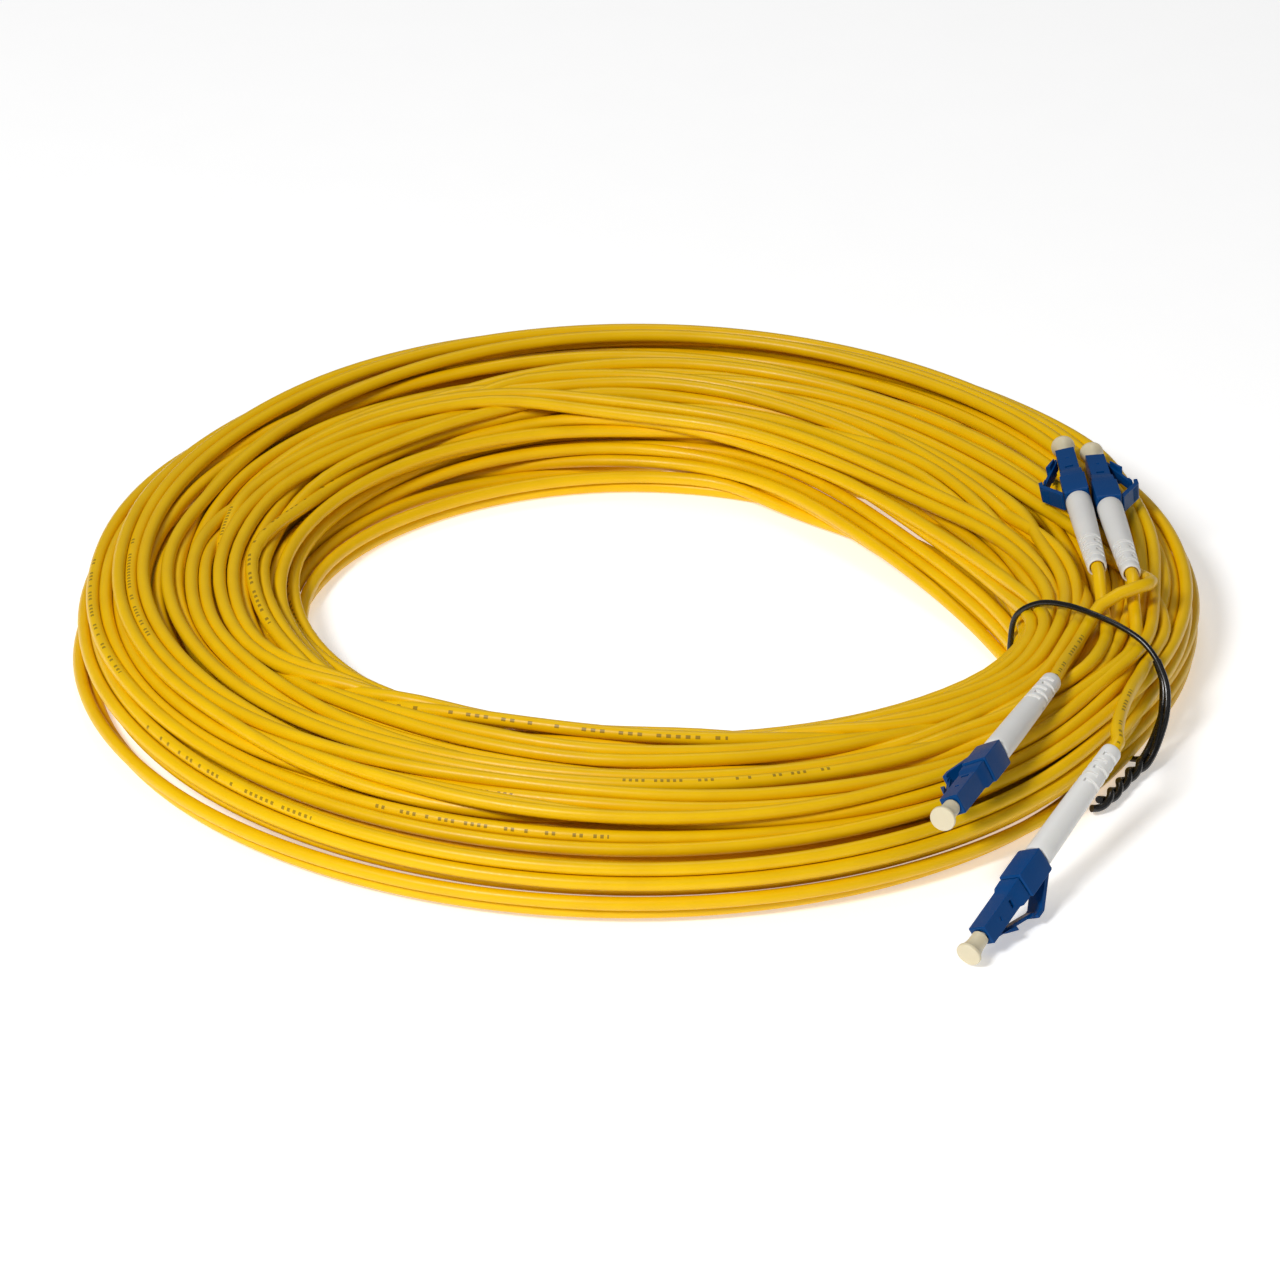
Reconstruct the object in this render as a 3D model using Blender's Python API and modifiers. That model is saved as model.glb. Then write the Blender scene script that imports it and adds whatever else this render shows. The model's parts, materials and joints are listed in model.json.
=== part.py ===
"""Duplex fibre optic patch cord with four LC type connectors, wound in a coil and held by a wire tie.

Z is up and the coil lies on the floor at Z = 0. Each connector is built in its own frame: the X axis
runs along the ferrule towards its tip, X = 0 is the front face of the plug, and the Z axis points to
the side of the latch. An empty then lays that frame where the connector rests on the coil.
"""
import math

import bmesh
import bpy
from mathutils import Matrix, Vector

MM = 0.001

# The coil and the cord
JACKET_DIAMETER = 3.0 * MM
COIL_OUTER_RADIUS = 132.0 * MM
COIL_INNER_RADIUS = 74.0 * MM
COIL_HEIGHT = 19.0 * MM
COIL_SQUARENESS = 2.6
COIL_CENTRE_Y = 8.9 * MM

# Where the tie pulls the bundle in
PINCH_ANGLE = math.radians(-24.0)
PINCH_HALF_WIDTH = math.radians(34.0)
PINCH_INNER = 18.0 * MM
PINCH_OUTER = 12.0 * MM
PINCH_TOP = 1.8 * MM
TIE_DIAMETER = 1.35 * MM
TIE_CLEARANCE = 0.5 * MM

# The ferrule, its flange and its spring
FERRULE_DIAMETER = 1.25 * MM
FERRULE_REACH = 4.3 * MM
FERRULE_SEAT = 1.3 * MM
FERRULE_TRAVEL = 0.6 * MM
FERRULE_TIP_CHAMFER = 0.25 * MM
FLANGE_SETBACK = 1.9 * MM
FLANGE_LENGTH = 2.5 * MM
NECK_LENGTH = 6.1 * MM
NECK_WALL = 0.3 * MM
SPRING_WIRE = 0.3 * MM
SPRING_TURNS = 5

# The housings
PLUG_WIDTH = 4.52 * MM
PLUG_LENGTH = 15.6 * MM
PLUG_BORE_DIAMETER = 3.3 * MM
PLUG_EDGE = 0.22 * MM
COLLAR_STEP = 0.39 * MM
COLLAR_LENGTH = 2.7 * MM
WINDOW_SETBACK = 10.3 * MM
WINDOW_LENGTH = 0.9 * MM
WINDOW_WIDTH = 1.6 * MM
REAR_WIDTH = 6.0 * MM
REAR_LENGTH = 9.5 * MM
REAR_BORE_ROOM = 0.25 * MM
REAR_EDGE = 0.55 * MM

# The latch stands on the plug and the trigger on the rear housing
LATCH_WIDTH = 2.2 * MM
LATCH_SETBACK = 2.6 * MM
LATCH_OVERHANG = 0.4 * MM
LATCH_RISE = 4.52 * MM
LATCH_THICKNESS = 0.54 * MM
LUG_WIDTH = 4.4 * MM
LUG_FRONT = 4.4 * MM
LUG_SHOULDER = 8.2 * MM
LUG_NOSE = 0.32 * MM
LUG_RISE = 3.08 * MM
LUG_DEPTH = 1.1 * MM
TRIGGER_WIDTH = 4.0 * MM
TRIGGER_SETBACK = 8.5 * MM
TRIGGER_REACH = 0.1 * MM
TRIGGER_PAD = 2.4 * MM
TRIGGER_DIP = 0.1 * MM
TRIGGER_THICKNESS = 0.9 * MM
ROOT_LENGTH = 1.5 * MM

# Where the jacket ends, and what grips it
BUFFER_DIAMETER = 0.9 * MM
BACKPOST_TAIL = 5.0 * MM
BACKPOST_COLLAR = 1.3 * MM
BACKPOST_ROOM = 0.35 * MM
YARN_THICKNESS = 0.15 * MM
JACKET_SETBACK = 0.7 * MM
CRIMP_WALL = 0.35 * MM
CRIMP_GRIP = 3.2 * MM
BOOT_LENGTH = 36.0 * MM
BOOT_STEP_SETBACK = 1.8 * MM
BOOT_FRONT_WALL = 0.85 * MM
BOOT_REAR_WALL = 0.6 * MM
BOOT_END_ROUND = 0.3 * MM

# The dust cap
CAP_REACH = 6.0 * MM
CAP_BARREL_DIAMETER = 3.8 * MM
CAP_DISC_DIAMETER = 5.6 * MM
CAP_DISC_THICKNESS = 0.8 * MM
CAP_FLARE = 0.9 * MM
CAP_EDGE = 0.2 * MM

# Named clearances
FACE_GAP = 0.3 * MM
SLIDE_GAP = 0.05 * MM
PRESS_GAP = 0.02 * MM
BORE_GAP = 0.15 * MM
STAND_GAP = 0.12 * MM
TRIGGER_GAP = 0.18 * MM
PAIR_GAP = 1.4 * MM

# Where the connectors lie: the boot's rear end in millimetres, from the coil's rim where the tie is, and
# from the height at which a connector would rest on the coil; the way the ferrule points; and the side
# of the latch. The far pair lie side by side, so b2 is given from b1.
CONNECTORS = {
    "a1": ((-30.59, -12.31, 1.55), (-0.396, -0.918, 0.010), (-0.820, 0.290, -0.485)),
    "a2": ((-19.09, -37.91, -1.75), (-0.492, -0.832, -0.255), (0.530, 0.0, -0.850)),
    "b1": ((-17.09, 39.89, 2.45), (-0.051, 0.998, -0.036), (-0.975, -0.050, -0.210)),
    "b2": ((0.0, -3.0, 0.0), (-0.065, 0.997, -0.038), (0.995, 0.060, 0.060)),
}

# The legs' routes from the boots to where each dives into the coil, from the coil's centre
LEG_ROUTES = {
    "a1": ((93.0, -57.0, 22.9), (96.8, -45.0, 21.3), (99.8, -35.5, 20.9), (103.0, -30.2, 23.4),
           (107.4, -28.2, 25.4), (111.6, -25.6, 26.0), (114.8, -20.8, 25.0), (116.2, -13.5, 22.8)),
    "a2": ((103.0, -84.4, 21.2), (104.9, -73.5, 20.6), (107.8, -62.2, 19.6), (110.4, -53.0, 18.0),
           (112.4, -45.4, 16.8), (116.8, -33.5, 16.8), (120.4, -22.5, 17.2)),
    "b1": ((103.8, -20.4, 22.8), (104.1, -25.6, 20.4), (104.4, -33.6, 19.8), (103.4, -41.5, 20.3),
           (100.6, -50.3, 21.0), (96.4, -60.4, 21.2)),
    "b2": ((110.9, -23.4, 22.6), (111.1, -28.6, 20.4), (110.9, -36.4, 19.2), (109.4, -45.0, 19.2),
           (106.0, -54.0, 20.4)),
}

# The tie round the bundle, then its two ends twisted together on the floor, from the coil's centre
TIE_ROUTE = (
    (84.8, -21.9, 9.5), (86.2, -22.2, 15.5), (90.2, -25.4, 20.6), (95.4, -30.2, 23.6),
    (101.5, -35.8, 24.1), (107.4, -40.4, 23.2), (112.1, -44.3, 21.2), (115.3, -48.0, 17.4),
    (115.8, -51.0, 12.6), (114.2, -55.4, 8.0), (111.6, -58.8, 4.6), (107.2, -57.8, 1.9),
    (102.0, -51.0, 0.74), (97.0, -43.5, 0.72), (92.0, -34.0, 0.76), (87.4, -25.6, 1.9), (85.2, -22.4, 4.8),
)
TWIST_ROUTE = (
    (111.0, -63.6, 2.0), (108.2, -69.0, 1.9), (105.4, -74.0, 1.9), (102.6, -79.6, 2.2), (98.8, -84.6, 2.3),
)
TWIST_DIAMETER = 2.6 * MM


for old in list(bpy.data.objects):
    bpy.data.objects.remove(old, do_unlink=True)

collection = bpy.data.collections.new("fiber_optic_patch_cord")
bpy.context.scene.collection.children.link(collection)
cutters = bpy.data.collections.new("cutters")
bpy.context.scene.collection.children.link(cutters)


# Materials


def plastic(name, color, roughness, metallic=0.0):
    material = bpy.data.materials.new(name)
    material.use_nodes = True
    shader = material.node_tree.nodes["Principled BSDF"]
    shader.inputs["Base Color"].default_value = (*color, 1.0)
    shader.inputs["Roughness"].default_value = roughness
    shader.inputs["Metallic"].default_value = metallic
    return material


JACKET_YELLOW = plastic("jacket_yellow", (0.86, 0.56, 0.0), 0.38)
HOUSING_BLUE = plastic("housing_blue", (0.0, 0.10, 0.34), 0.32)
BOOT_WHITE = plastic("boot_white", (0.86, 0.86, 0.84), 0.45)
CAP_IVORY = plastic("cap_ivory", (0.80, 0.73, 0.55), 0.40)
TIE_BLACK = plastic("tie_black", (0.012, 0.012, 0.014), 0.25)
CERAMIC_WHITE = plastic("ceramic_white", (0.88, 0.87, 0.83), 0.15)
NICKEL = plastic("nickel", (0.62, 0.61, 0.58), 0.28, 1.0)
SPRING_STEEL = plastic("spring_steel", (0.55, 0.55, 0.56), 0.30, 1.0)
ARAMID_GOLD = plastic("aramid_gold", (0.80, 0.62, 0.22), 0.70)
BUFFER_WHITE = plastic("buffer_white", (0.85, 0.85, 0.85), 0.45)


# Placing


def empty(name, matrix, parent=None):
    holder = bpy.data.objects.new(name, None)
    collection.objects.link(holder)
    holder.parent = parent
    holder.matrix_local = matrix
    return holder


def place(name, data, material, parent, offset=(0.0, 0.0, 0.0)):
    piece = bpy.data.objects.new(name, data)
    collection.objects.link(piece)
    piece.parent = parent
    piece.location = offset
    if not data.materials:
        data.materials.append(material)
    return piece


# Shapes


def turned(name, profile):
    """A closed profile of (x, radius) corners, outer side first from front to rear, for a Screw about X."""
    mesh = bpy.data.meshes.new(name)
    shape = bmesh.new()
    corners = [shape.verts.new((x, radius, 0.0)) for x, radius in profile]
    on_axis = profile[0][1] == 0.0
    for first, second in zip(corners, corners[1:]):
        shape.edges.new((first, second))
    if not on_axis:
        shape.edges.new((corners[-1], corners[0]))
    shape.to_mesh(mesh)
    shape.free()
    return mesh


def turn(piece, steps):
    screw = piece.modifiers.new("turn", "SCREW")
    screw.axis = "X"
    screw.angle = math.tau
    screw.steps = steps
    screw.render_steps = steps
    screw.use_merge_vertices = True
    screw.merge_threshold = 1e-6
    screw.use_smooth_shade = True


def evaluated_mesh(piece, name):
    """The piece's mesh with its modifiers applied, its doubles merged and its flat faces kept flat."""
    depsgraph = bpy.context.evaluated_depsgraph_get()
    mesh = bpy.data.meshes.new_from_object(piece.evaluated_get(depsgraph))
    mesh.name = name
    shape = bmesh.new()
    shape.from_mesh(mesh)
    bmesh.ops.remove_doubles(shape, verts=shape.verts, dist=1e-6)
    shape.to_mesh(mesh)
    shape.free()
    mesh.shade_smooth()
    mesh.set_sharp_from_angle(angle=math.radians(35))
    return mesh


def block(name, x_from, x_to, width, bevel):
    """A square bar along X with its edges rounded."""
    mesh = bpy.data.meshes.new(name)
    shape = bmesh.new()
    size = Matrix.Diagonal((x_to - x_from, width, width, 1.0))
    bmesh.ops.create_cube(shape, size=1.0, matrix=Matrix.Translation(((x_from + x_to) / 2, 0, 0)) @ size)
    bmesh.ops.bevel(shape, geom=list(shape.edges), offset=bevel, segments=1, affect="EDGES", profile=0.5,
                    material=-1)
    shape.to_mesh(mesh)
    shape.free()
    piece = bpy.data.objects.new(name, mesh)
    cutters.objects.link(piece)
    return piece


def side_profile(name, outline, width):
    """An outline of (x, z) corners, made a plate of the given width about the plane Y = 0."""
    curve = bpy.data.curves.new(name, "CURVE")
    curve.dimensions = "2D"
    curve.fill_mode = "BOTH"
    curve.extrude = width / 2
    spline = curve.splines.new("POLY")
    spline.points.add(len(outline) - 1)
    spline.use_cyclic_u = True
    for point, (x, z) in zip(spline.points, outline):
        point.co = (x, z, 0.0, 1.0)
    flat = bpy.data.objects.new(name, curve)
    cutters.objects.link(flat)
    flat.rotation_euler = (math.pi / 2, 0.0, 0.0)
    bpy.context.view_layer.update()
    mesh = evaluated_mesh(flat, name)
    mesh.transform(flat.matrix_world)
    bpy.data.objects.remove(flat, do_unlink=True)
    piece = bpy.data.objects.new(name, mesh)
    cutters.objects.link(piece)
    return piece


def combined(name, base, steps):
    """The base with each (operation, other) Boolean applied, as a mesh that several pieces can share."""
    for number, (operation, other) in enumerate(steps):
        other.hide_render = True
        other.display_type = "WIRE"
        boolean = base.modifiers.new(f"{operation.lower()}_{number}", "BOOLEAN")
        boolean.operation = operation
        boolean.object = other
    bpy.context.view_layer.update()
    mesh = evaluated_mesh(base, name)
    for used in [base] + [other for _, other in steps]:
        bpy.data.objects.remove(used, do_unlink=True)
    return mesh


def turned_cutter(name, profile, steps=16):
    piece = bpy.data.objects.new(name, turned(name, profile))
    cutters.objects.link(piece)
    turn(piece, steps)
    return piece


def smooth_route(points, spacing):
    """Points about one spacing apart on a Catmull-Rom curve through the given ones."""
    ends = [points[0] * 2 - points[1]] + list(points) + [points[-1] * 2 - points[-2]]
    route = []
    for before, start, end, after in zip(ends, ends[1:], ends[2:], ends[3:]):
        pieces = max(1, round((end - start).length / spacing))
        for step in range(pieces):
            t = step / pieces
            route.append(0.5 * (2 * start + (end - before) * t
                                + (2 * before - 5 * start + 4 * end - after) * t ** 2
                                + (3 * start - before - 3 * end + after) * t ** 3))
    return route + [points[-1]]


def tube(name, points, diameter, material, parent, cyclic=False):
    curve = bpy.data.curves.new(name, "CURVE")
    curve.dimensions = "3D"
    curve.bevel_depth = diameter / 2
    curve.bevel_resolution = 2
    curve.use_fill_caps = not cyclic
    spline = curve.splines.new("POLY")
    spline.points.add(len(points) - 1)
    spline.use_cyclic_u = cyclic
    for point, place_at in zip(spline.points, points):
        point.co = (*place_at, 1.0)
    return place(name, curve, material, parent)


# Places along the connector's axis, from the front face of the plug towards the cord

flange_front = -FLANGE_SETBACK
flange_rear = flange_front - FLANGE_LENGTH
neck_rear = flange_rear - NECK_LENGTH
ferrule_rear = flange_front - FERRULE_SEAT
backpost_front = neck_rear - FERRULE_TRAVEL - FACE_GAP
plug_rear = -PLUG_LENGTH
rear_front = plug_rear - FACE_GAP
rear_rear = rear_front - REAR_LENGTH
boot_front = rear_rear - FACE_GAP
boot_rear = boot_front - BOOT_LENGTH
backpost_rear = rear_rear - BACKPOST_TAIL
jacket_front = backpost_rear - JACKET_SETBACK
crimp_front = rear_rear + FACE_GAP
crimp_rear = jacket_front - CRIMP_GRIP
boot_step = crimp_rear - BOOT_STEP_SETBACK
fiber_front = ferrule_rear - FERRULE_TRAVEL - 2 * FACE_GAP

# Radii that follow one another from the fibre outwards

buffer_radius = BUFFER_DIAMETER / 2
neck_bore = buffer_radius + SLIDE_GAP * 2
neck_radius = neck_bore + NECK_WALL
flange_radius = PLUG_BORE_DIAMETER / 2 - BORE_GAP
socket_radius = FERRULE_DIAMETER / 2 + PRESS_GAP
front_hole_radius = FERRULE_DIAMETER / 2 + FACE_GAP + SLIDE_GAP
spring_radius = (neck_radius + flange_radius) / 2
backpost_radius = PLUG_BORE_DIAMETER / 2 - BORE_GAP
backpost_bore = buffer_radius + BACKPOST_ROOM
backpost_neck = JACKET_DIAMETER / 2 - SLIDE_GAP
yarn_inner = backpost_neck + SLIDE_GAP
yarn_outer = yarn_inner + YARN_THICKNESS
crimp_inner = yarn_outer + SLIDE_GAP
crimp_outer = crimp_inner + CRIMP_WALL
boot_wide_bore = crimp_outer + 3 * SLIDE_GAP
boot_narrow_bore = JACKET_DIAMETER / 2 + 3 * SLIDE_GAP
boot_front_radius = boot_wide_bore + BOOT_FRONT_WALL
boot_rear_radius = boot_narrow_bore + BOOT_REAR_WALL
collar_width = PLUG_WIDTH + 2 * COLLAR_STEP
rear_bore_radius = crimp_outer + REAR_BORE_ROOM


# Meshes that the four connectors share

PAST_END = 1.0 * MM  # how far a cutter runs past what it cuts


def plug_body_mesh():
    """Square housing with a wider collar at its rear, a stepped bore and a window in each side."""
    base = block("plug_bar", plug_rear, 0.0, PLUG_WIDTH, PLUG_EDGE)
    collar = block("plug_collar", plug_rear, plug_rear + COLLAR_LENGTH, collar_width, 0.75 * COLLAR_STEP)
    bore_front = flange_front + BORE_GAP
    bore_radius = PLUG_BORE_DIAMETER / 2
    bore = turned_cutter("plug_bore", (
        (PAST_END, 0.0), (PAST_END, front_hole_radius), (bore_front, front_hole_radius),
        (bore_front, bore_radius), (plug_rear - PAST_END, bore_radius), (plug_rear - PAST_END, 0.0)))
    window = block("plug_window", -WINDOW_SETBACK - WINDOW_LENGTH / 2, -WINDOW_SETBACK + WINDOW_LENGTH / 2,
                   WINDOW_WIDTH, SLIDE_GAP)
    window.data.transform(Matrix.Diagonal((1.0, (collar_width + PAST_END) / WINDOW_WIDTH, 1.0, 1.0)))
    return combined("plug_body", base, (("UNION", collar), ("DIFFERENCE", bore), ("DIFFERENCE", window)))


def rear_body_mesh():
    """Square sleeve behind the plug, chamfered, which holds the trigger and takes the backpost."""
    base = block("rear_bar", rear_rear, rear_front, REAR_WIDTH, REAR_EDGE)
    bore = turned_cutter("rear_bore", (
        (rear_front + PAST_END, 0.0), (rear_front + PAST_END, rear_bore_radius),
        (rear_rear - PAST_END, rear_bore_radius), (rear_rear - PAST_END, 0.0)))
    return combined("rear_body", base, (("DIFFERENCE", bore),))


# The latch and the trigger, side on: corners of (x, z), each shape standing just clear of its housing

plug_face = PLUG_WIDTH / 2 + STAND_GAP
rear_face = REAR_WIDTH / 2 + STAND_GAP
latch_end = plug_rear + LATCH_OVERHANG
latch_top = plug_face + LATCH_RISE
trigger_root = rear_front - TRIGGER_SETBACK

# Each bends at the inner corner of its root, where it leaves the housing
LATCH_PIVOT = Vector((-LATCH_SETBACK - ROOT_LENGTH, 0.0, plug_face))
TRIGGER_PIVOT = Vector((trigger_root + ROOT_LENGTH, 0.0, rear_face))


def latch_outline():
    """An arm that rises from its root to its rear end."""
    front = -LATCH_SETBACK
    return ((front, plug_face), (front, plug_face + LATCH_THICKNESS * 0.7),
            (latch_end + ROOT_LENGTH / 2, latch_top), (latch_end, latch_top),
            (latch_end, latch_top - LATCH_THICKNESS), (front - ROOT_LENGTH, plug_face))


def lug_outline():
    """A wedge with its square shoulder to the rear."""
    start = plug_face + LATCH_THICKNESS
    return ((-LUG_FRONT, start), (-LUG_FRONT, start + LUG_NOSE), (-LUG_SHOULDER, plug_face + LUG_RISE),
            (-LUG_SHOULDER, plug_face + LUG_RISE - LUG_DEPTH))


def trigger_outline():
    """A lever that leans forwards until its tip lies just over the latch's end."""
    tip = latch_top + TRIGGER_GAP
    tip_front = latch_end + TRIGGER_REACH
    pad = tip_front - TRIGGER_PAD
    return ((trigger_root, rear_face), (trigger_root, rear_face + ROOT_LENGTH / 3),
            (pad, tip + TRIGGER_THICKNESS), (tip_front, tip + TRIGGER_THICKNESS),
            (tip_front, tip), (pad + ROOT_LENGTH / 3, tip - TRIGGER_DIP),
            (trigger_root + ROOT_LENGTH, rear_face))


def latch_mesh():
    """Cantilever arm with a wedge shaped lug on each side of it."""
    arm = side_profile("latch_arm", latch_outline(), LATCH_WIDTH)
    lugs = side_profile("latch_lugs", lug_outline(), LUG_WIDTH)
    mesh = combined("latch", arm, (("UNION", lugs),))
    mesh.transform(Matrix.Translation(-LATCH_PIVOT))
    return mesh


def trigger_mesh():
    lever = side_profile("trigger_lever", trigger_outline(), TRIGGER_WIDTH)
    mesh = combined("trigger", lever, ())
    mesh.transform(Matrix.Translation(-TRIGGER_PIVOT))
    return mesh


def dust_cap_profile():
    barrel = CAP_BARREL_DIAMETER / 2
    disc = CAP_DISC_DIAMETER / 2
    bore = FERRULE_DIAMETER / 2 + SLIDE_GAP
    bore_end = FERRULE_REACH + FACE_GAP
    flare_start = CAP_REACH - CAP_DISC_THICKNESS
    return ((CAP_REACH, 0.0), (CAP_REACH, disc - CAP_EDGE), (CAP_REACH - CAP_EDGE, disc),
            (flare_start, disc - CAP_EDGE), (flare_start - CAP_FLARE, barrel), (FACE_GAP, barrel),
            (FACE_GAP, bore), (bore_end, bore), (bore_end, 0.0))


def ferrule_profile():
    radius = FERRULE_DIAMETER / 2
    return ((FERRULE_REACH, 0.0), (FERRULE_REACH, radius - FERRULE_TIP_CHAMFER / 2),
            (FERRULE_REACH - FERRULE_TIP_CHAMFER, radius),
            (ferrule_rear, radius), (ferrule_rear, 0.0))


def ferrule_flange_profile():
    socket_end = ferrule_rear - SLIDE_GAP
    return ((flange_front, flange_radius), (flange_rear, flange_radius), (flange_rear, neck_radius),
            (neck_rear, neck_radius), (neck_rear, neck_bore), (socket_end, neck_bore),
            (socket_end, socket_radius), (flange_front, socket_radius))


def backpost_profile():
    collar_front = rear_front - BORE_GAP
    collar_rear = collar_front - BACKPOST_COLLAR
    collar_radius = rear_bore_radius - BORE_GAP
    return ((backpost_front, backpost_radius), (collar_front, backpost_radius),
            (collar_front, collar_radius),
            (collar_rear, collar_radius), (collar_rear, backpost_neck), (backpost_rear, backpost_neck),
            (backpost_rear, backpost_bore), (backpost_front, backpost_bore))


def sleeve_profile(front, rear, outer, inner):
    return ((front, outer), (rear, outer), (rear, inner), (front, inner))


def boot_profile():
    return ((boot_front, boot_front_radius), (boot_rear + BOOT_END_ROUND, boot_rear_radius),
            (boot_rear, boot_rear_radius - BOOT_END_ROUND), (boot_rear, boot_narrow_bore),
            (boot_step, boot_narrow_bore), (boot_step, boot_wide_bore), (boot_front, boot_wide_bore))


def spring_points():
    """One turn after another of an open coil between the flange and the backpost."""
    end_gap = SPRING_WIRE / 2 + 1.6 * SLIDE_GAP
    start = flange_rear - end_gap
    stop = backpost_front + end_gap
    per_turn = 8
    total = SPRING_TURNS * per_turn
    for step in range(total + 1):
        angle = math.tau * step / per_turn
        along = start + (stop - start) * step / total
        yield Vector((along, spring_radius * math.cos(angle), spring_radius * math.sin(angle)))


# The four connectors

cord_set = empty("cord_set", Matrix.Translation((0.0, COIL_CENTRE_Y, 0.0)))
widest = max(REAR_WIDTH, 2 * boot_front_radius)
rim_at_tie = Vector((math.cos(PINCH_ANGLE), math.sin(PINCH_ANGLE), 0.0)) * COIL_OUTER_RADIUS
resting = rim_at_tie + Vector((0.0, 0.0, COIL_HEIGHT + widest / 2))


def boot_end_of(end):
    """Where the rear end of a connector's boot lies, from the coil's centre."""
    offset = Vector(CONNECTORS[end][0]) * MM
    if end == "b2":
        return boot_end_of("b1") + offset + Vector((widest + PAIR_GAP, 0.0, 0.0))
    return resting + offset


def connector_matrix(boot_end, ahead, latch_side):
    """The connector's frame: X ahead, Z to the latch, and the boot's rear end at the given place."""
    x_axis = Vector(ahead).normalized()
    z_axis = Vector(latch_side) - x_axis * x_axis.dot(Vector(latch_side))
    z_axis.normalize()
    y_axis = z_axis.cross(x_axis)
    turn_to = Matrix((x_axis, y_axis, z_axis)).transposed().to_4x4()
    return Matrix.Translation(boot_end - x_axis * boot_rear) @ turn_to


TURNED = {
    "boot": (turned("boot", boot_profile()), BOOT_WHITE, 20),
    "backpost": (turned("backpost", backpost_profile()), NICKEL, 14),
    "aramid_yarn": (turned("aramid_yarn", sleeve_profile(
        crimp_front, backpost_rear, yarn_outer, yarn_inner)), ARAMID_GOLD, 14),
    "crimp_sleeve": (turned("crimp_sleeve", sleeve_profile(
        crimp_front, crimp_rear, crimp_outer, crimp_inner)), NICKEL, 14),
    "buffered_fiber": (turned("buffered_fiber", (
        (fiber_front, 0.0), (fiber_front, buffer_radius),
        (jacket_front + FACE_GAP, buffer_radius), (jacket_front + FACE_GAP, 0.0))), BUFFER_WHITE, 10),
    "ferrule_flange": (turned("ferrule_flange", ferrule_flange_profile()), NICKEL, 14),
    "ferrule": (turned("ferrule", ferrule_profile()), CERAMIC_WHITE, 14),
    "dust_cap": (turned("dust_cap", dust_cap_profile()), CAP_IVORY, 20),
}
PLUG_BODY = plug_body_mesh()
REAR_BODY = rear_body_mesh()
LATCH = latch_mesh()
TRIGGER = trigger_mesh()

for end, (_, ahead, latch_side) in CONNECTORS.items():
    matrix = connector_matrix(boot_end_of(end), ahead, latch_side)
    frame = empty(f"{end}_connector", matrix, cord_set)
    for part, (mesh, material, steps) in TURNED.items():
        turn(place(f"{end}_{part}", mesh, material, frame), steps)
    place(f"{end}_plug_body", PLUG_BODY, HOUSING_BLUE, frame)
    place(f"{end}_rear_body", REAR_BODY, HOUSING_BLUE, frame)
    place(f"{end}_latch", LATCH, HOUSING_BLUE, frame, LATCH_PIVOT)
    place(f"{end}_trigger", TRIGGER, HOUSING_BLUE, frame, TRIGGER_PIVOT)

    spring = tube(f"{end}_spring", list(spring_points()), SPRING_WIRE, SPRING_STEEL, frame)
    spring.data.bevel_resolution = 1

    # The leg runs straight through the crimp and the boot, then over the coil
    straight = (jacket_front, boot_step, boot_rear + JACKET_DIAMETER, boot_rear - JACKET_DIAMETER)
    in_boot = [matrix @ Vector((x, 0.0, 0.0)) for x in straight]
    outside = [Vector(point) * MM for point in LEG_ROUTES[end]]
    tube(f"{end}_cord_leg", smooth_route(in_boot + outside, 2.5 * JACKET_DIAMETER), JACKET_DIAMETER,
         JACKET_YELLOW, cord_set)


# The coil: a turned ring with a flat base, drawn in and lifted a little where the tie holds it


def coil_section(points=16):
    """A rounded rectangle across the bundle, flat below."""
    middle = (COIL_OUTER_RADIUS + COIL_INNER_RADIUS) / 2
    half_width = (COIL_OUTER_RADIUS - COIL_INNER_RADIUS) / 2
    half_height = COIL_HEIGHT / 2
    for number in range(points):
        angle = math.tau * number / points
        across = math.copysign(abs(math.cos(angle)) ** (2 / COIL_SQUARENESS), math.cos(angle))
        above = math.copysign(abs(math.sin(angle)) ** (2 / COIL_SQUARENESS), math.sin(angle))
        height = half_height * (1 + above)
        yield middle + half_width * across, 0.0 if height < 0.06 * COIL_HEIGHT else height


def pinch(angle):
    """From 0 away from the tie to 1 at it, without a corner."""
    away = abs((angle - PINCH_ANGLE + math.pi) % math.tau - math.pi) / PINCH_HALF_WIDTH
    return 0.0 if away >= 1 else math.cos(away * math.pi / 2) ** 2


def coil_mesh(steps=72):
    mesh = bpy.data.meshes.new("cable_coil")
    shape = bmesh.new()
    ring = [shape.verts.new((radius, 0.0, height)) for radius, height in coil_section()]
    edges = [shape.edges.new((first, second)) for first, second in zip(ring, ring[1:] + ring[:1])]
    bmesh.ops.spin(shape, geom=ring + edges, cent=(0, 0, 0), axis=(0, 0, 1), angle=math.tau,
                   steps=steps, use_merge=True)
    lift = TIE_DIAMETER + TIE_CLEARANCE
    for vert in shape.verts:
        radius = math.hypot(vert.co.x, vert.co.y)
        amount = pinch(math.atan2(vert.co.y, vert.co.x))
        share = (radius - COIL_INNER_RADIUS) / (COIL_OUTER_RADIUS - COIL_INNER_RADIUS)
        moved = radius + amount * (PINCH_INNER * (1 - share) - PINCH_OUTER * share)
        vert.co.x *= moved / radius
        vert.co.y *= moved / radius
        top = COIL_HEIGHT - amount * PINCH_TOP
        vert.co.z = vert.co.z / COIL_HEIGHT * (top - amount * lift) + amount * lift
    bmesh.ops.recalc_face_normals(shape, faces=shape.faces)
    shape.to_mesh(mesh)
    shape.free()
    mesh.shade_smooth()
    return mesh


place("cable_coil", coil_mesh(), JACKET_YELLOW, cord_set)


# The tie: one loop round the bundle, and the twisted ends beside it

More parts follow.
